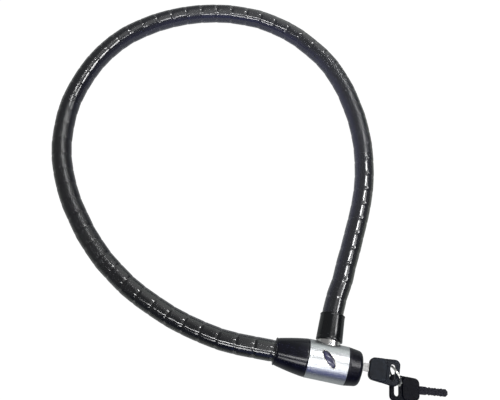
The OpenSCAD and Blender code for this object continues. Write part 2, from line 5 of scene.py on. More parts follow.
import bmesh
import bpy
import numpy as np
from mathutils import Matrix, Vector


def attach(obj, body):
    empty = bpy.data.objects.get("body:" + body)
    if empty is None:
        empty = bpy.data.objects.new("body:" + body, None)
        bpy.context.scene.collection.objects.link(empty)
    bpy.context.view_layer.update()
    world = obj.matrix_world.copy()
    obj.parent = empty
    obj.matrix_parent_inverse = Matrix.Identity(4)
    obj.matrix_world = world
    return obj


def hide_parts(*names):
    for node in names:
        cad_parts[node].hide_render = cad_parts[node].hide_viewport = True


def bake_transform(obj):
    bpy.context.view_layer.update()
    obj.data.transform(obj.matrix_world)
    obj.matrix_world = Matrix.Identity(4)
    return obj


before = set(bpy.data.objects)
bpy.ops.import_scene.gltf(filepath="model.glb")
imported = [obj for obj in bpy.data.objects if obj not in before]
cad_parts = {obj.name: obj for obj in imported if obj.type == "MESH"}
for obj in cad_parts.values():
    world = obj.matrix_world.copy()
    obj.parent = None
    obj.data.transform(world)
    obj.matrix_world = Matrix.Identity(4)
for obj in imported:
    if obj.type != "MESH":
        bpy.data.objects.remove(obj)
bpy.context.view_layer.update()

MM = 0.001
TURN = 2 * math.pi
HEAD = np.array([143.0, -190.0, 18.0])     # where the plug's axis crosses the lock head's, in mm
random = np.random.default_rng(11)

# ---------------------------------------------------------------- camera
CAMERA_TURN = math.radians(11.09)           # how far the picture is turned round the lock
camera = bpy.data.objects.new("camera", bpy.data.cameras.new("camera"))
bpy.context.scene.collection.objects.link(camera)
camera.data.sensor_width = 36
camera.data.lens = 46.8
camera.data.clip_start = 0.05
camera.location = Vector((45.3, -302.1, 634.0)) * MM
camera.rotation_euler = (math.radians(22.32), math.radians(-4.26), CAMERA_TURN)
bpy.context.scene.camera = camera


# ---------------------------------------------------------------- node trees
def srgb(red, green, blue):
    """A colour given as a screen shows it, 0 to 255, as the linear colour that a shader takes."""
    parts = [c / 255 for c in (red, green, blue)]
    return (*[c / 12.92 if c <= 0.04045 else ((c + 0.055) / 1.055) ** 2.4 for c in parts], 1)


class Value:
    """A number on its way through a node tree. A sum written with it adds the Math nodes."""

    def __init__(self, tree, socket):
        self.tree, self.socket = tree, socket

    def math(self, operation, *others):
        values = dict(enumerate([self, *others]))
        return self.tree.node("ShaderNodeMath", {"operation": operation}, values)

    def __add__(self, other):
        return self.math("ADD", other)

    def __sub__(self, other):
        return self.math("SUBTRACT", other)

    def __mul__(self, other):
        return self.math("MULTIPLY", other)

    def __truediv__(self, other):
        return self.math("DIVIDE", other)

    def __pow__(self, other):
        return self.math("POWER", other)

    __radd__ = __add__

    def fade(self, low, high, at_low=0.0, at_high=1.0):
        """A smooth step from at_low, where the value is low, to at_high, where it is high."""
        return self.tree.node("ShaderNodeMapRange", {"interpolation_type": "SMOOTHSTEP"},
                              {0: self, 1: low, 2: high, 3: at_low, 4: at_high})


class Tree:
    """A node tree, for a material, for the world or for geometry."""

    def __init__(self, tree):
        self.tree = tree

    def node(self, kind, settings=None, values=None, out=0):
        made = self.tree.nodes.new(kind)
        for key, setting in (settings or {}).items():
            setattr(made, key, setting)
        for key, value in (values or {}).items():
            if isinstance(value, Value):
                self.tree.links.new(value.socket, made.inputs[key])
            else:
                made.inputs[key].default_value = value
        return Value(self, made.outputs[out]) if made.outputs else None

    def mix(self, share, a, b, blend="MIX"):
        """Colour a where share is 0 and colour b where it is 1."""
        return self.node("ShaderNodeMix", {"data_type": "RGBA", "blend_type": blend},
                         {0: share, 6: a, 7: b}, out=2)

    def place(self, centre=(0, 0, 0)):
        """Object coordinates in mm, from a centre in mm."""
        at = self.node("ShaderNodeTexCoord", out=3)
        return self.node("ShaderNodeMapping", {"vector_type": "POINT"},
                         {0: at, 1: [-c for c in centre], 3: [1 / MM] * 3})

    def mark(self, name):
        """A number that the mesh carries at each of its points."""
        return self.node("ShaderNodeAttribute", {"attribute_name": name}, out=2)

    def noise(self, at, scale, detail=2.0, rough=0.5):
        return self.node("ShaderNodeTexNoise", {"noise_dimensions": "3D"},
                         {"Vector": at, "Scale": scale, "Detail": detail, "Roughness": rough})

    def xyz(self, at):
        parts = self.tree.nodes.new("ShaderNodeSeparateXYZ")
        self.tree.links.new(at.socket, parts.inputs[0])
        return [Value(self, out) for out in parts.outputs]

    def vector(self, x, y, z):
        return self.node("ShaderNodeCombineXYZ", None, {0: x, 1: y, 2: z})

    def bump(self, height, depth, strength=1.0):
        """Normals for marks as deep as the depth, in mm."""
        values = {"Height": height, "Distance": depth * MM, "Strength": strength}
        return self.node("ShaderNodeBump", None, values)


FINISHES = {}


def finish(name):
    """A new material with an empty node tree."""
    material = bpy.data.materials.new(name)
    material.use_nodes = True
    material.node_tree.nodes.clear()
    FINISHES[name] = material
    return Tree(material.node_tree)


def surface(tree, **sockets):
    """Ends a material in a Principled shader; Base_Color stands for Base Color, and so on."""
    values = {key.replace("_", " "): value for key, value in sockets.items()}
    shader = tree.node("ShaderNodeBsdfPrincipled", {"distribution": "MULTI_GGX"}, values)
    tree.node("ShaderNodeOutputMaterial", None, {0: shader})


def round_the_head(tree, across, along):
    """Where a turning mark lies round the lock head: across its axis, along the mark, outwards."""
    x, y, z = tree.xyz(tree.place(HEAD))
    angle = y.math("ARCTAN2", z)
    radius = (y * y + z * z).math("SQRT")
    return tree.vector(x * across, angle * along, radius * across)


# ---------------------------------------------------------------- materials
def make_brushed_band():
    tree = finish("brushed_band")
    marks_at = round_the_head(tree, 1.0, 0.9)
    fine = tree.noise(marks_at, 7.0, 3, 0.6)
    broad = tree.noise(marks_at, 1.1, 2, 0.5)
    colour = tree.mix(fine.fade(0.3, 0.7), srgb(196, 199, 203), srgb(224, 226, 226))
    colour = tree.mix(broad.fade(0.4, 0.75) * 0.3, colour, srgb(176, 181, 186))
    surface(tree, Base_Color=colour, Metallic=1.0, Roughness=fine * 0.14 + 0.27,
            Normal=tree.bump(fine, 0.012, 0.7))


def make_cast_body():
    tree = finish("cast_body")
    at = tree.place(HEAD)
    grain = tree.noise(at, 1.6, 4, 0.6)
    colour = tree.mix(grain, srgb(150, 152, 154), srgb(192, 193, 195))
    surface(tree, Base_Color=colour, Metallic=0.9, Roughness=grain * 0.2 + 0.4,
            Normal=tree.bump(grain, 0.05))


def make_boot_rubber():
    tree = finish("boot_rubber")
    at = tree.place(HEAD)
    grain = tree.noise(at, 2.6, 3, 0.55)
    broad = tree.noise(at, 0.16, 2, 0.5)
    colour = tree.mix(broad.fade(0.35, 0.7), srgb(11, 13, 25), srgb(19, 20, 37))
    surface(tree, Base_Color=colour, Roughness=grain * 0.06 + 0.16, Specular_IOR_Level=0.42,
            Normal=tree.bump(grain, 0.006, 0.5))


def make_cap_plastic():
    tree = finish("cap_plastic")
    marks_at = round_the_head(tree, 1.0, 0.4)
    turned = tree.noise(marks_at, 5.0, 2, 0.5)
    broad = tree.noise(tree.place(HEAD), 0.2, 2, 0.5)
    colour = tree.mix(broad, srgb(10, 10, 24), srgb(17, 17, 36))
    surface(tree, Base_Color=colour, Roughness=turned * 0.10 + 0.20, Specular_IOR_Level=0.45,
            Normal=tree.bump(turned, 0.02, 0.6))


def make_collar_plastic():
    tree = finish("collar_plastic")
    at = tree.place(HEAD)
    broad = tree.noise(at, 0.2, 2, 0.5)
    fine = tree.noise(at, 2.0, 2, 0.5)
    colour = tree.mix(broad, srgb(8, 12, 14), srgb(14, 19, 22))
    surface(tree, Base_Color=colour, Roughness=fine * 0.06 + 0.15, Specular_IOR_Level=0.55,
            Normal=tree.bump(fine, 0.004, 0.4))


def make_badge_enamel():
    """Violet, with painted light lighter on one side of the dome and painted shade darker at its
    edge.
    """
    tree = finish("badge_enamel")
    # Painted light on one side of the dome, and painted shade towards its edge.
    colour = tree.mix(tree.mark("upward").fade(-1.0, 1.0), srgb(30, 26, 74), srgb(92, 92, 134))
    colour = tree.mix(tree.mark("reach").fade(0.70, 0.98), colour, srgb(20, 18, 52))
    surface(tree, Base_Color=colour, Roughness=0.18, Coat_Weight=0.3, Coat_Roughness=0.08)


def make_metal(name, dark, light, rough, spread=0.12, scale=0.8, metallic=1.0):
    tree = finish(name)
    at = tree.place(HEAD)
    cloud = tree.noise(at, scale, 3, 0.55)
    fine = tree.noise(at, scale * 6, 2, 0.5)
    surface(tree, Base_Color=tree.mix(cloud.fade(0.3, 0.7), dark, light), Metallic=metallic,
            Roughness=cloud * spread + rough, Normal=tree.bump(fine, 0.01, 0.5))


def make_key_plastic(name, dark, light, shine):
    tree = finish(name)
    at = tree.place(HEAD)
    grain = tree.noise(at, 3.2, 3, 0.55)
    broad = tree.noise(at, 0.12, 2, 0.5)
    colour = tree.mix(broad.fade(0.3, 0.7), dark, light)
    surface(tree, Base_Color=colour, Roughness=grain * 0.10 + 0.34, Specular_IOR_Level=shine,
            Normal=tree.bump(grain, 0.03, 0.6))


# Where the sheath is scuffed, in mm: the middle of each patch, how far out it is fully rough, and
# where it ends.
SCUFFS = [((-150, -70), 80, 125), ((135, 95), 50, 80)]
SCUFF_ROUGH = 0.25


def make_clear_sheath():
    """Painted light: darker lower left, lighter upper right; violet inside the loop, olive outside.
    """
    violet, olive, top = (1.15, 1.12, 2.0, 1), (1.22, 1.27, 0.92, 1), (0.62, 0.62, 0.78, 1)
    tree = finish("clear_sheath")
    at = tree.place()
    x, y, _ = tree.xyz(at)
    broad = tree.noise(at, 0.035, 2, 0.5)
    waves = tree.noise(at, 0.22, 2, 0.5)
    # Painted light: the colour goes from darker at the lower left of the loop to lighter at the
    # upper right.
    painted_light_share = (x * 0.6 + y * 0.7).fade(-150, 110)
    colour = tree.mix(painted_light_share, srgb(13, 14, 22), srgb(74, 76, 76))
    colour = tree.mix(broad.fade(0.35, 0.65) * 0.25, colour, srgb(50, 53, 40))
    # Painted reflection and shade round the tube: violet inside the loop, olive outside, darker on
    # top than at the sides.
    outward = tree.mark("outward")
    side = tree.mix(outward.fade(-0.9, 0.9), violet, olive)
    painted_side_reflection_and_shade = tree.mix((outward * outward).fade(0.1, 0.8), top, side)
    colour = tree.mix(1.0, colour, painted_side_reflection_and_shade, "MULTIPLY")
    rough = waves * 0.04 + 0.08
    for (east, north), near, far in SCUFFS:
        apart = ((x - east) ** 2 + (y - north) ** 2).math("SQRT")
        rough = rough + apart.fade(near, far, SCUFF_ROUGH, 0.0)
    surface(tree, Base_Color=colour, Roughness=rough, Specular_IOR_Level=1.0,
            Alpha=tree.mark("inner_wall").fade(0.0, 1.0, 0.80, 0.10),
            Normal=tree.bump(waves, 0.04, 0.5))


def make_rope_steel():
    """Wire rope, with its strands as slanting bands."""
    tree = finish("rope_steel")
    at = tree.place()
    wires = tree.node("ShaderNodeTexWave", {"wave_type": "BANDS", "bands_direction": "DIAGONAL"},
                      {"Vector": at, "Scale": 0.55, "Distortion": 0.6, "Detail": 1.0}, out=1)
    colour = tree.mix(wires, srgb(92, 94, 96), srgb(176, 178, 180))
    surface(tree, Base_Color=colour, Metallic=1.0, Roughness=wires * 0.15 + 0.35,
            Normal=tree.bump(wires, 0.3, 0.6))


make_brushed_band()
make_cast_body()
make_boot_rubber()
make_cap_plastic()
make_collar_plastic()
make_badge_enamel()
make_key_plastic("key_plastic", srgb(12, 18, 28), srgb(22, 30, 42), 0.22)
make_key_plastic("dark_plastic", srgb(3, 4, 12), srgb(7, 9, 20), 0.08)
make_clear_sheath()
make_rope_steel()
make_metal("bright_nickel", srgb(214, 213, 208), srgb(232, 231, 228), 0.20, 0.06)
make_metal("brass", srgb(196, 164, 92), srgb(222, 194, 126), 0.22)
make_metal("pin_steel", srgb(140, 142, 145), srgb(180, 181, 184), 0.30)
make_metal("key_nickel", srgb(150, 149, 150), srgb(182, 181, 180), 0.26, 0.14)
# The spare key's blade: nickel with a near black base colour, a painted dark reflection of what its
# tilted blade mirrors.
make_metal("nickel_painted_dark_reflection", srgb(6, 6, 16), srgb(14, 13, 27), 0.42, 0.14, metallic=0.7)
make_metal("sleeve_steel", srgb(96, 99, 104), srgb(140, 142, 144), 0.34, 0.14, 0.5)


# ---------------------------------------------------------------- meshes
def solid(name, points, faces, sharp=35.0):
    """An object from points in mm, with edges of more degrees than sharp kept crisp."""
    mesh = bpy.data.meshes.new(name)
    mesh.from_pydata([tuple(np.asarray(p, float) * MM) for p in points], [], faces)
    made = bpy.data.objects.new(name, mesh)
    bpy.context.scene.collection.objects.link(made)
    tidy_mesh(made, sharp)
    return made


def tidy_mesh(made, sharp=35.0):
    """Merges doubles, turns the faces outwards and shades them smooth up to sharp edges."""
    work = bmesh.new()
    work.from_mesh(made.data)
    bmesh.ops.remove_doubles(work, verts=work.verts, dist=0.002 * MM)
    bmesh.ops.recalc_face_normals(work, faces=work.faces)
    for face in work.faces:
        face.smooth = True
    work.to_mesh(made.data)
    work.free()
    made.data.set_sharp_from_angle(angle=math.radians(sharp))


def dress(made, body, finish_name, *nodes):
    """Gives a finished piece its material and its body, and hides the CAD nodes that it stands for.
    """
    made.data.materials.clear()
    made.data.materials.append(FINISHES[finish_name])
    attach(made, body)
    if nodes:
        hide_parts(*nodes)


def round_corners(outline, radii, steps=4):
    """A closed outline with each corner rounded by its radius."""
    outline = [np.array(p, float) for p in outline]
    made = []
    for i, corner in enumerate(outline):
        before, after = outline[i - 1], outline[(i + 1) % len(outline)]
        if radii[i] <= 0:
            made.append(corner)
            continue
        a, b = before - corner, after - corner
        la, lb = np.linalg.norm(a), np.linalg.norm(b)
        a, b = a / la, b / lb
        half = math.acos(max(-1, min(1, float(a @ b)))) / 2
        reach = min(radii[i] / math.tan(half), 0.49 * la, 0.49 * lb)
        for k in range(steps + 1):
            t = k / steps
            made.append((1 - t) ** 2 * (corner + a * reach) + 2 * t * (1 - t) * corner
                        + t ** 2 * (corner + b * reach))
    return made


def lathe(name, outline, axis="x", centre=HEAD, sides=128, sharp=35.0):
    """Turns a closed outline of (distance along the axis, radius) round an axis."""
    points, faces = [], []
    count = len(outline)
    for k in range(sides):
        angle = TURN * k / sides
        for along, radius in outline:
            across, up = radius * math.cos(angle), radius * math.sin(angle)
            offset = (along, across, up) if axis == "x" else (across, along, up)
            if axis == "z":
                offset = (across, up, along)
            points.append(np.array(centre) + offset)
    for k in range(sides):
        for i in range(count):
            j = (i + 1) % count
            if outline[i][1] < 1e-6 and outline[j][1] < 1e-6:
                continue
            a, b = k * count, (k + 1) % sides * count
            faces.append((a + i, a + j, b + j, b + i))
    return solid(name, points, faces, sharp)


def cut_away(made, tool, sharp=35.0):
    """Takes a solid away from another, and keeps a clean mesh."""
    cutter = made.modifiers.new("cut", "BOOLEAN")
    cutter.operation, cutter.solver, cutter.object = "DIFFERENCE", "EXACT", tool
    apply_modifiers(made)
    bpy.data.objects.remove(tool)
    tidy_mesh(made, sharp)


def even_shading(made):
    """Lets the large faces set the normals, so the thin ones beside a cut don't show as lines."""
    weighted = made.modifiers.new("even", "WEIGHTED_NORMAL")
    weighted.keep_sharp, weighted.weight = True, 100
    return apply_modifiers(made)


def apply_modifiers(made):
    """The evaluated object's mesh in place of its own, with no modifier left."""
    bpy.context.view_layer.update()
    shown = made.evaluated_get(bpy.context.evaluated_depsgraph_get())
    mesh = bpy.data.meshes.new_from_object(shown)
    made.modifiers.clear()
    made.data = mesh
    return made


# ---------------------------------------------------------------- the cable's route
ROUTE = np.array([
    [112, -190, 18], [88, -190, 18], [47, -190, 15.6], [10, -183, 12], [-26, -171, 10.6],
    [-61, -154, 10.3], [-94, -130, 10.21], [-123, -100, 10.21], [-148, -64, 10.21],
    [-165, -22, 10.21], [-170, 25, 10.21], [-163, 72, 10.21], [-144, 114, 10.21],
    [-112, 148, 10.21], [-73, 172, 10.21], [-29, 185, 10.21], [17, 185, 10.21], [61, 170, 10.21],
    [100, 142, 10.21], [128, 103, 10.21], [147, 58, 10.26], [156, 12, 10.5], [156, -34, 11.5],
    [151, -78, 14.4], [147, -112, 17.5], [143, -134, 18], [143, -160, 18]])
SLEEVES = 62
BENDS = [7, 16, 26, 38, 50]                 # the joints at which the frame's cable bends
SPLITS = [0, 11, 21, 32, 44, SLEEVES]       # the sleeves at whose middle the sheath's pieces meet


def sleeve_joints():
    """The centre of each ball joint, on a smooth curve through the route, in mm."""
    fine = []
    for i in range(len(ROUTE) - 1):
        a, b, c = ROUTE[max(i - 1, 0)], ROUTE[i], ROUTE[i + 1]
        d = ROUTE[min(i + 2, len(ROUTE) - 1)]
        for t in np.arange(12) / 12:
            fine.append(0.5 * (2 * b + (c - a) * t + (2 * a - 5 * b + 4 * c - d) * t * t
                               + (3 * b - a - 3 * c + d) * t ** 3))
    fine = np.array(fine + [ROUTE[-1]])
    along = np.concatenate([[0], np.cumsum(np.linalg.norm(np.diff(fine, axis=0), axis=1))])
    stations = np.linspace(0, along[-1], SLEEVES + 1)
    return np.array([[np.interp(s, along, fine[:, axis]) for axis in range(3)] for s in stations])


JOINTS = sleeve_joints()
SHEATH_R = 10.2
SHEATH_WALL = 0.9
CORNER = 2.7                                # how far each side of a joint the sheath's bend is
WANDER, WANDER_MOST = 0.22, 0.4             # how far the joints stand off the smooth route
DIP, DIP_AT, DIP_WIDE = 0.28, 2.6, 1.2      # the groove that the sheath has beside each joint
JOIN_BEFORE, JOIN_AFTER = 10, 7             # sheath pieces meet between these marks on a sleeve


def sheath_rings():
    """Every ring of the sheath: centre, direction, how far it is past a joint, and the sleeve."""
    joints = JOINTS.copy()
    wander = random.normal(0, 1, (SLEEVES + 1, 2))
    for i in range(2, SLEEVES - 1):
        way = joints[i + 1] - joints[i - 1]
        side = np.array([way[1], -way[0], 0]) / np.linalg.norm(way[:2])
        joints[i] += side * float(np.clip(wander[i, 0] * WANDER, -WANDER_MOST, WANDER_MOST))
    rings = []
    for i in range(SLEEVES):
        step = joints[i + 1] - joints[i]
        pitch = np.linalg.norm(step)
        way = step / pitch
        back = way
        if i:
            back = joints[i] - joints[i - 1]
            back = back / np.linalg.norm(back)
        for t in (0.0, 0.25, 0.5, 0.68, 0.84):
            point = ((1 - t) ** 2 * (joints[i] - back * CORNER) + 2 * t * (1 - t) * joints[i]
                     + t ** 2 * (joints[i] + way * CORNER))
            heading = (1 - t) * back + t * way
            rings.append((point, heading / np.linalg.norm(heading), (2 * t - 1) * CORNER, i))
        for s in (CORNER, 3.4, 4.3, 5.8, pitch / 2, 12.0):
            rings.append((joints[i] + way * s, way, s, i))
    rings.append((joints[-1], way, 0.0, SLEEVES))
    return rings


RINGS = sheath_rings()


def sheath_piece(name, first, last, sides=48):
    """A stretch of the sheath from the middle of one sleeve to the middle of another."""
    chosen = []
    for point, way, s, i in RINGS:
        starts = i == first and (first == 0 or s > JOIN_AFTER)
        ends = i == last and (last == SLEEVES or s < JOIN_BEFORE)
        if first < i < last or starts or ends:
            chosen.append((point, way, s))
    points, faces, marks = [], [], []
    for wall in (0, 1):
        for point, way, s in chosen:
            pinch = DIP * math.exp(-((s - DIP_AT) / DIP_WIDE) ** 2)
            side = np.cross([0, 0, 1], way)
            side = side / np.linalg.norm(side)
            up = np.cross(way, side)
            radius = SHEATH_R - pinch - wall * SHEATH_WALL
            for k in range(sides):
                angle = TURN * k / sides
                points.append(point + radius * (math.cos(angle) * side + math.sin(angle) * up))
                marks.append((float(wall), math.cos(angle)))
    count = len(chosen)
    for wall in (0, 1):
        for r in range(count - 1):
            for k in range(sides):
                a = (wall * count + r) * sides + k
                b = (wall * count + r) * sides + (k + 1) % sides
                quad = (a, a + sides, b + sides, b)
                faces.append(quad if wall == 0 else quad[::-1])
    for r in (0, count - 1):
        for k in range(sides):
            a, b = r * sides + k, r * sides + (k + 1) % sides
            faces.append((a, b, b + count * sides, a + count * sides))
    made = solid(name, points, faces)
    kept = {tuple(np.round(p * MM, 6)): mark for p, mark in zip(points, marks)}
    values = [kept.get(tuple(np.round(v.co, 6)), (0.0, 0.0)) for v in made.data.vertices]
    for column, mark in enumerate(("inner_wall", "outward")):
        layer = made.data.attributes.new(mark, "FLOAT", "POINT")
        layer.data.foreach_set("value", [value[column] for value in values])
    return made, [tuple(p * MM) for p, _, _ in chosen]


BODIES = ["head", "cable_2", "cable_3", "cable_4", "cable_5", "cable_6"]
sheaths = []
for i in range(5):
    piece, path = sheath_piece(f"clear_sheath_{i + 1}", SPLITS[i], SPLITS[i + 1])
    piece.data.materials.append(FINISHES["clear_sheath"])
    way = JOINTS[BENDS[i] + 1] - JOINTS[BENDS[i] - 1]
    way = way / np.linalg.norm(way)
    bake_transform(piece)
    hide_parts(*[["sheath_1"], ["sheath_2"], ["sheath_3"], ["sheath_4"],
                         ["sheath_5", "sheath_6"]][i])
    sheaths.append((piece, path))


def declare_cords(plug_pieces):
    """Goes through the stretches of the cable and works out where each starts and whether it ends at
    the plug, but keeps none of it.
    """
    for i, (piece, path) in enumerate(sheaths):
        (0.0935, -0.190, 0.018) if i == 0 else path[0]
        "plug" if i == 4 else "object"
        plug_pieces if i == 4 else ()


# ---------------------------------------------------------------- the steel sleeves
def repeater():
    """A node tree that stands a part on every point, its own Z along the point's direction."""
    group = bpy.data.node_groups.new("repeat_along", "GeometryNodeTree")
    for name, kind in (("Points", "NodeSocketGeometry"), ("Part", "NodeSocketObject"),
                       ("Finish", "NodeSocketMaterial")):
        group.interface.new_socket(name, in_out="INPUT", socket_type=kind)
    group.interface.new_socket("Parts", in_out="OUTPUT", socket_type="NodeSocketGeometry")
    tree = Tree(group)
    given = group.nodes.new("NodeGroupInput").outputs
    asked = {socket.name: Value(tree, socket) for socket in given if socket.name}
    part = tree.node("GeometryNodeObjectInfo", None, {"Object": asked["Part"]}, out="Geometry")
    way = tree.node("GeometryNodeInputNamedAttribute", {"data_type": "FLOAT_VECTOR"},
                    {"Name": "way"})
    turned = tree.node("FunctionNodeAlignRotationToVector", {"axis": "Z"}, {"Vector": way})
    placed = tree.node("GeometryNodeInstanceOnPoints", None,
                       {"Points": asked["Points"], "Instance": part, "Rotation": turned})
    real = tree.node("GeometryNodeRealizeInstances", None, {0: placed})
    painted = tree.node("GeometryNodeSetMaterial", None, {0: real, "Material": asked["Finish"]})
    tree.node("NodeGroupOutput", None, {0: painted})
    return group


def repeat(name, part, places, ways, group, finish_name):
    """One mesh of a part stood on each of the places, which are in mm."""
    mesh = bpy.data.meshes.new(name)
    mesh.from_pydata([tuple(p * MM) for p in places], [], [])
    mesh.attributes.new("way", "FLOAT_VECTOR", "POINT").data.foreach_set(
        "vector", np.array(ways, np.float32).ravel())
    made = bpy.data.objects.new(name, mesh)
    bpy.context.scene.collection.objects.link(made)
    nodes = made.modifiers.new("repeat", "NODES")
    nodes.node_group = group
    asked = {item.name: item.identifier for item in group.interface.items_tree
             if item.in_out == "INPUT"}
    nodes[asked["Part"]] = part
    nodes[asked["Finish"]] = FINISHES[finish_name]
    apply_modifiers(made)
    tidy_mesh(made)
    return made


PITCH = float(np.linalg.norm(JOINTS[30] - JOINTS[29]))


def sleeve_outline():
    """Half the section of a sleeve: a ball at one end, a cup for the next ball at the other."""
    ball, cup, bore, outer, shoulder = 7.2, 7.45, 4.8, 8.75, 4.1
    made = []
    start = math.acos(-math.sqrt(ball ** 2 - bore ** 2) / ball)
    end = math.acos(shoulder / ball)
    for k in range(7):
        a = start + (end - start) * k / 6
        made.append((ball * math.cos(a), ball * math.sin(a)))
    made += [(shoulder, 7.9), (4.9, outer), (PITCH + 0.3, outer), (PITCH + 0.8, 8.35),
             (PITCH + 0.8, cup)]
    for k in range(4):
        a = math.pi / 2 + (math.acos(-math.sqrt(cup ** 2 - bore ** 2) / cup) - math.pi / 2) * k / 3
        made.append((PITCH + cup * math.cos(a), cup * math.sin(a)))
    return made


one_sleeve = lathe("one_sleeve", sleeve_outline(), axis="z", centre=(0, 0, 0), sides=24)
repeat_along = repeater()
for k, body in enumerate(BODIES):
    first, last = ([0] + BENDS)[k], (BENDS + [SLEEVES])[k]
    steps = np.diff(JOINTS[first:last + 1], axis=0)
    sleeves = repeat(f"sleeves_{k + 1}", one_sleeve, JOINTS[first:last],
                     steps / np.linalg.norm(steps, axis=1)[:, None], repeat_along, "sleeve_steel")
    dress(sleeves, body, "sleeve_steel", f"armour_{k + 1}")
bpy.data.objects.remove(one_sleeve)

# ---------------------------------------------------------------- lock head
BAND_R, BAND_END, BAND_WALL = 18.0, 18.75, 2.4
CABLE_BORE = 10.55                          # in the boot and in the collar
CYLINDER = HEAD + (0, 3, 0)                 # the cylinder stands off the head's axis
BADGE_SLANT = math.radians(130)             # how the badge's length lies to the head's axis
BADGE_LENGTH, BADGE_WIDTH = 18.4, 6.9


def on_band(along, across, radius):
    """A point over the band, from a point on the badge's flat oval and a distance from the axis."""
    x = along * math.cos(BADGE_SLANT) - across * math.sin(BADGE_SLANT)
    y = along * math.sin(BADGE_SLANT) + across * math.cos(BADGE_SLANT)
    return HEAD + (x, y, math.sqrt(radius ** 2 - y ** 2))


def oval_dome(name, length, width, low, edge, crown, sides=72, rings=8):
    """A domed oval that follows the band, from radius low up to edge, and crown at its middle."""
    points, faces = [], []

    def ring(share, radius):
        for k in range(sides):
            a = TURN * k / sides
            points.append(on_band(share * length / 2 * math.cos(a),
                                  share * width / 2 * math.sin(a), radius))

    shares = [(1.0, low)]
    for k in range(rings + 1):
        share = math.cos(math.pi / 2 * k / rings * 0.92)
        shares.append((share, edge + (crown - edge) * (1 - share ** 2.4)))
    shares.append((0.0, crown))
    shares.insert(0, (0.0, low))
    for share, radius in shares:
        ring(max(share, 1e-5), radius)
    for r in range(len(shares) - 1):
        for k in range(sides):
            a, b = r * sides + k, r * sides + (k + 1) % sides
            faces.append((a, b, b + sides, a + sides))
    made = solid(name, points, faces, 50)
    marks = {"reach": [], "upward": []}
    for v in made.data.vertices:
        x, y, _ = np.array(v.co) / MM - HEAD
        a = (x * math.cos(BADGE_SLANT) + y * math.sin(BADGE_SLANT)) / (length / 2)
        b = (-x * math.sin(BADGE_SLANT) + y * math.cos(BADGE_SLANT)) / (width / 2)
        marks["reach"].append(math.hypot(a, b))
        marks["upward"].append(b)
    for mark, values in marks.items():
        made.data.attributes.new(mark, "FLOAT", "POINT").data.foreach_set("value", values)
    return made


def oval_ring(name, length, width, section, sides=96):
    """A rim round the badge; the section gives how far out, and the distance from the axis."""
    points, faces = [], []
    for k in range(sides):
        a = TURN * k / sides
        for out, radius in section:
            points.append(on_band((length / 2 + out) * math.cos(a),
                                  (width / 2 + out) * math.sin(a), radius))
    count = len(section)
    for k in range(sides):
        for i in range(count):
            a, b = k * count, (k + 1) % sides * count
            j = (i + 1) % count
            faces.append((a + i, a + j, b + j, b + i))
    return solid(name, points, faces, 50)


band = lathe("band_shell", round_corners(
    [(-BAND_END, BAND_R), (BAND_END, BAND_R), (BAND_END, BAND_R - BAND_WALL),
     (-BAND_END, BAND_R - BAND_WALL)], [0.55, 0.55, 0, 0]), sides=384, sharp=40)
cut_away(band, lathe("hole", [(0, 0), (0, 11.2), (30, 11.2), (30, 0)], axis="y", sides=96), 40)
cut_away(band, oval_dome("recess", 20.0, 8.5, 17.45, 20, 20), 40)
dress(even_shading(band), "head", "brushed_band", "band")

dress(oval_dome("badge_dome", BADGE_LENGTH, BADGE_WIDTH, 17.5, 18.1, 18.75), "head",
      "badge_enamel", "badge")
RIM = round_corners([(0.02, 17.52), (0.02, 18.3), (0.68, 18.3), (0.68, 17.52)],
                    [0, 0.3, 0.3, 0])
dress(oval_ring("badge_frame", BADGE_LENGTH + 0.1, BADGE_WIDTH + 0.1, RIM), "head",
      "bright_nickel", "badge_rim")


def boot_outline():
    """The boot from its mouth round the cable to the band, then back along its bore."""
    length, mouth, start = 30.75, 12.4, -49.5
    outer = [(start, 10.95), (start, mouth + 0.1), (start + 0.25, mouth + 0.42),
             (start + 0.8, mouth + 0.55), (start + 1.35, mouth + 0.42),
             (start + 1.65, mouth + 0.05)]
    for k in range(2, 25):
        t = k / 25
        outer.append((start + length * t,
                      mouth + (BAND_R - mouth) * (0.6 * t + 0.4 * math.sin(math.pi / 2 * t))))
    outer += [(-BAND_END - 0.5, 17.82), (-BAND_END - 0.12, 17.6), (-BAND_END, 17.2)]
    inner, step = 15.65, -27.3
    return outer + [(-BAND_END, inner), (step, inner), (step, CABLE_BORE),
                    (start + 0.4, CABLE_BORE)]


boot = lathe("moulded_boot", boot_outline(), sides=144, sharp=50)
dress(boot, "head", "boot_rubber", "rear_boot")


def cap_outline():
    """The cap from the band to its face, with fine grooves round its skirt."""
    start, length, straight, corner, taper = BAND_END, 14.85, 9.3, 4.5, 1.4
    grooves, pitch, depth = 6, 1.3, 0.27

    def skirt(x):
        return BAND_R - taper * x / straight

    outer = [(start, 16.6), (start, 17.5), (start + 0.15, 17.8), (start + 0.5, skirt(0.5))]
    for k in range(grooves):
        x = 2 + pitch * k
        outer += [(start + x, skirt(x)), (start + x + 0.12, skirt(x) - depth),
                  (start + x + 0.33, skirt(x) - depth), (start + x + 0.45, skirt(x))]
    flat = BAND_R - taper - corner
    for k in range(10):
        a = math.radians(k * 8.6)
        outer.append((start + straight + corner * math.sin(a), flat + corner * math.cos(a)))
    outer += [(start + 14.1, 11.4), (start + 14.6, 9.6), (start + length, 8.2), (start + length, 0)]
    return outer + [(start + 7.9, 0), (start + 7.9, 15.6), (start + 0.2, 15.6)]


cap = lathe("turned_cap", cap_outline(), sides=144, sharp=28)
cut_away(cap, lathe("bore", [(20, 0), (20, 8.1), (30.95, 8.1), (30.95, 6.85), (33.4, 6.85),
                             (33.55, 7.05), (40, 7.05), (40, 0)], centre=CYLINDER, sides=96), 28)
dress(cap, "head", "cap_plastic", "front_cap")


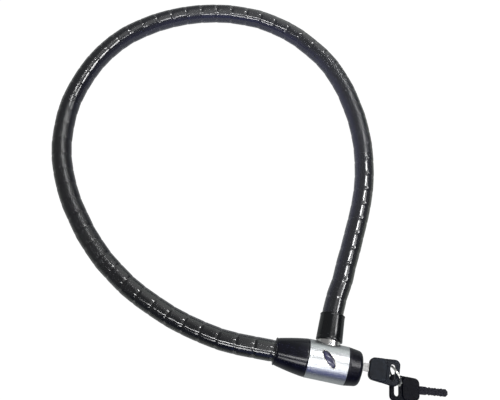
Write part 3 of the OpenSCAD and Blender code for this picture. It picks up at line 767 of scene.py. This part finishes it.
def collar_outline():
    """The collar from the band to its mouth round the cable, then back along its bore."""
    start, end, seat, neck = 19.7, 45.5, 28.4, 7.65
    outer = [(start, 8.0), (start, 12.25), (start + 0.2, 12.55), (start + 0.6, 12.7),
             (start + 3.0, 12.6), (start + 3.2, 12.46), (start + 3.5, 12.46), (start + 3.7, 12.54),
             (32.0, 12.22), (end - 1.7, 11.72), (end - 1.45, 11.94), (end - 0.8, 12.03),
             (end - 0.25, 11.9), (end, 11.6), (end, 10.9)]
    return outer + [(end - 0.4, CABLE_BORE), (seat, CABLE_BORE), (seat, neck), (start + 0.1, neck)]


collar = lathe("moulded_collar", collar_outline(), axis="y", sharp=40)
dress(collar, "cable_6", "collar_plastic", "plug_collar")

# ---------------------------------------------------------------- CAD nodes that stay
KEPT = {"lock_body": "cast_body", "cylinder_housing": "brass", "housing_pin": "pin_steel",
        "rope_terminal": "pin_steel", "terminal_pin": "pin_steel", "latch_plate": "pin_steel",
        "latch_spring": "pin_steel", "cylinder_core": "brass", "wafers": "brass",
        "cam": "pin_steel", "key_blade": "key_nickel", "key_head": "key_plastic",
        "split_ring": "bright_nickel", "spare_key_blade": "nickel_painted_dark_reflection",
        "spare_key_head": "dark_plastic", "locking_plug": "bright_nickel",
        "plug_seal": "boot_rubber", "plug_pin": "pin_steel",
        **{f"rope_{k}": "rope_steel" for k in range(1, 7)}}
for name, finish_name in KEPT.items():
    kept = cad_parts[name]
    kept.data.materials.clear()
    kept.data.materials.append(FINISHES[finish_name])

declare_cords([collar, "locking_plug", "plug_seal", "plug_pin"])


# ---------------------------------------------------------------- floor, lamps and surroundings
def paint_floor():
    """White where the camera sees it, grey in mirrors and dark there at the front, else pale."""
    white, grey, dark = (1.13, 1.13, 1.13, 1), (0.38, 0.40, 0.40, 1), (0.06, 0.07, 0.10, 1)
    glowing = 0.88                          # the rest of it shows the lamps' light and shadows
    tree = finish("table_top")
    at = tree.place()
    grain = tree.noise(at, 0.05, 2)
    _, y, _ = tree.xyz(at)
    colour = tree.mix(grain, srgb(250, 250, 250), srgb(253, 253, 253))
    diffuse = tree.node("ShaderNodeBsdfDiffuse", None, {"Color": colour})
    ray = tree.tree.nodes.new("ShaderNodeLightPath")
    mirror = Value(tree, ray.outputs["Is Glossy Ray"])
    shown = tree.mix(mirror, white, grey)
    shown = tree.mix(mirror * y.fade(-225, -330), shown, dark)
    glow = tree.node("ShaderNodeEmission", None, {"Color": shown, "Strength": 1.0})
    seen = Value(tree, ray.outputs["Is Camera Ray"]).math("MAXIMUM", mirror).math(
        "MAXIMUM", Value(tree, ray.outputs["Is Transmission Ray"]))
    mixed = tree.node("ShaderNodeMixShader", None, {0: seen * glowing, 1: diffuse, 2: glow})
    tree.node("ShaderNodeOutputMaterial", None, {0: mixed})
    return FINISHES["table_top"]


FLOOR_REACH, FLOOR_DROP = 3, 0.0003         # in metres: its half width, and how far below the part
floor_mesh = bpy.data.meshes.new("table_top")
floor_mesh.from_pydata([(x * FLOOR_REACH, y * FLOOR_REACH, -FLOOR_DROP)
                        for x, y in ((-1, -1), (1, -1), (1, 1), (-1, 1))], [], [(0, 1, 2, 3)])
floor = bpy.data.objects.new("table_top", floor_mesh)
bpy.context.scene.collection.objects.link(floor)
floor.data.materials.append(paint_floor())


def lamp(name, place, aim, size, power):
    """A soft box at a place, turned to another, both in metres."""
    light = bpy.data.lights.new(name, "AREA")
    light.shape = "RECTANGLE"
    light.size, light.size_y = size
    light.energy = power
    made = bpy.data.objects.new(name, light)
    made.location = place
    made.rotation_euler = (Vector(aim) - made.location).to_track_quat("-Z", "Y").to_euler()
    bpy.context.scene.collection.objects.link(made)


lamp("flash", (0.165, -0.41, 0.634), (0.05, -0.02, 0), (0.13, 0.10), 0.4)
lamp("window", (0.726, 0.43, 1.0), (0.16, -0.15, 0), (0.35, 0.35), 1.2)

# What the sheath mirrors as streaks: the direction of each lit patch of the room, as the X and Y of
# a unit vector, its half width and half depth in the same measure, and how bright it is.
GLEAMS = [((-0.20, -0.40), (0.22, 0.055), 13.0), ((0.16, 0.47), (0.13, 0.055), 19.0),
          ((0.61, 0.16), (0.09, 0.23), 12.0), ((0.38, -0.32), (0.11, 0.12), 6.0),
          ((-0.12, -0.74), (0.26, 0.07), 8.0)]


def paint_world():
    """What mirrors see: white above and behind, dark to both sides, violet low in front, gleams."""
    white, pale, grey = (1, 1, 1, 1), (0.95, 1.01, 0.97, 1), (0.40, 0.40, 0.41, 1)
    violet, dark = (0.09, 0.11, 0.32, 1), (0.02, 0.022, 0.03, 1)
    world = bpy.data.worlds.new("surroundings")
    bpy.context.scene.world = world
    world.use_nodes = True
    world.node_tree.nodes.clear()
    tree = Tree(world.node_tree)
    at = tree.node("ShaderNodeTexCoord", out=0)
    x, y, z = tree.xyz(at)
    bright = tree.mix(y.fade(-0.98, -0.42), violet, white)
    bright = tree.mix(y.fade(0.76, 1.0), bright, pale)
    side = x.fade(-0.22, 0.06, 0.78, 0.0).math("MAXIMUM", x.fade(0.34, 0.46, 0.0, 0.93))
    bright = tree.mix(side, bright, dark)
    lit = 0.0
    for (east, north), (wide, deep), power in GLEAMS:
        across = ((x - east) / wide) ** 2 + ((y - north) / deep) ** 2
        lit = lit + across.fade(0.5, 1.2, power, 0.0) * z.fade(0.3, 0.5)
    bright = tree.mix(1.0, bright, tree.vector(lit, lit, lit), "ADD")
    ray = tree.tree.nodes.new("ShaderNodeLightPath")
    seen = Value(tree, ray.outputs["Is Glossy Ray"])
    plain = tree.mix(seen, grey, bright)
    direct = Value(tree, ray.outputs["Is Camera Ray"])
    shown = tree.mix(direct, plain, white)
    back = tree.node("ShaderNodeBackground", None, {"Color": shown, "Strength": 1.0})
    tree.node("ShaderNodeOutputWorld", None, {0: back})


paint_world()
bpy.context.scene.view_settings.view_transform = "Standard"
